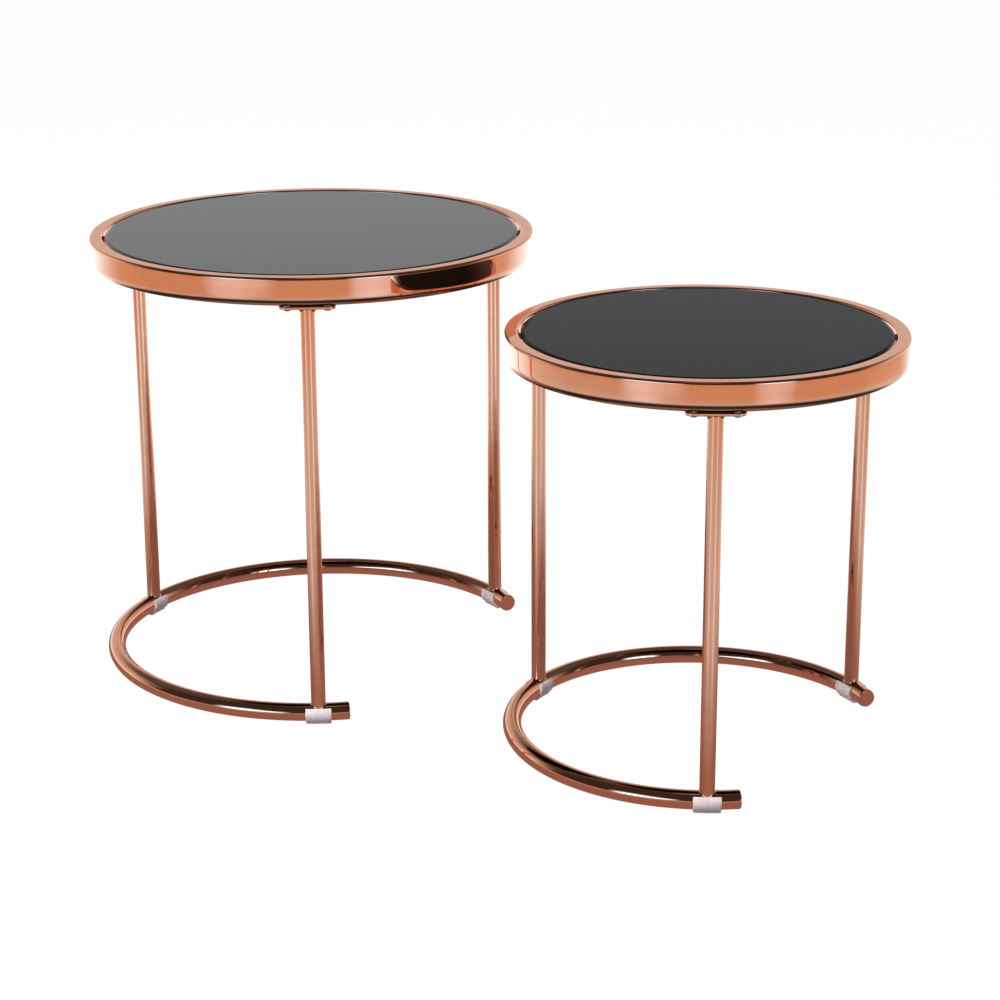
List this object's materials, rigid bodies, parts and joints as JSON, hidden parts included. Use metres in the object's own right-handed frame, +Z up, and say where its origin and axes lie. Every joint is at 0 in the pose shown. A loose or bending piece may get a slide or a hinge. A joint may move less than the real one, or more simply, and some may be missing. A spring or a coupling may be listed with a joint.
{
  "type": "nesting tables",
  "caption": "Round side tables with copper-coloured tube frames, open C bases and lift-out black glass tops; the lower one slides in under the taller one.",
  "frame": {"origin": "on the floor, under the middle of the pair's bounding box", "axes": "+Z up, +X from the large table's centre to the small table's centre, the way both bases open, +Y to the left of that"},
  "size_m": [0.9696, 0.5039, 0.5],
  "materials": {
    "ring_copper": "mirror-polished copper-coloured plating on steel",
    "tube_copper": "polished copper-coloured plating on steel tube, with faint drawing lines",
    "black_glass": "polished black tempered glass, opaque",
    "screw_steel": "bright nickel-plated",
    "nut_steel": "zinc-plated",
    "glide_plastic": "cloudy translucent polyethylene, satin",
    "pad_rubber": "matt black"
  },
  "bodies": {
    "large_frame": {"large_top_ring": "ring_copper", "large_glass_tab_1": "ring_copper", "large_glass_tab_2": "ring_copper", "large_glass_tab_3": "ring_copper", "large_glass_tab_4": "ring_copper", "large_glass_pads": "pad_rubber", "large_leg_right": "tube_copper", "large_leg_left": "tube_copper", "large_leg_rear": "tube_copper", "large_plate_right": "ring_copper", "large_plate_left": "ring_copper", "large_plate_rear": "ring_copper", "large_plate_screws": "screw_steel", "large_rivet_nuts": "nut_steel", "large_base_tube": "tube_copper", "large_end_cap_right": "tube_copper", "large_end_cap_left": "tube_copper", "large_glide_right": "glide_plastic", "large_glide_left": "glide_plastic", "large_glide_rear": "glide_plastic"},
    "small_frame": {"small_top_ring": "ring_copper", "small_glass_tab_1": "ring_copper", "small_glass_tab_2": "ring_copper", "small_glass_tab_3": "ring_copper", "small_glass_tab_4": "ring_copper", "small_glass_pads": "pad_rubber", "small_leg_right": "tube_copper", "small_leg_left": "tube_copper", "small_leg_rear": "tube_copper", "small_plate_right": "ring_copper", "small_plate_left": "ring_copper", "small_plate_rear": "ring_copper", "small_plate_screws": "screw_steel", "small_rivet_nuts": "nut_steel", "small_base_tube": "tube_copper", "small_end_cap_right": "tube_copper", "small_end_cap_left": "tube_copper", "small_glide_right": "glide_plastic", "small_glide_left": "glide_plastic", "small_glide_rear": "glide_plastic"},
    "large_glass": {"large_glass_top": "black_glass"},
    "small_glass": {"small_glass_top": "black_glass"}
  },
  "joints": [
    {"name": "table_slide", "type": "slide", "parent": "large_frame", "child": "small_frame", "axis": [1, 0, 0], "range_m": [-0.215, 0]},
    {"name": "large_glass_lift", "type": "slide", "parent": "large_frame", "child": "large_glass", "axis": [0, 0, 1], "range_m": [0, 0.04]},
    {"name": "small_glass_lift", "type": "slide", "parent": "small_frame", "child": "small_glass", "axis": [0, 0, 1], "range_m": [0, 0.012]}
  ]
}
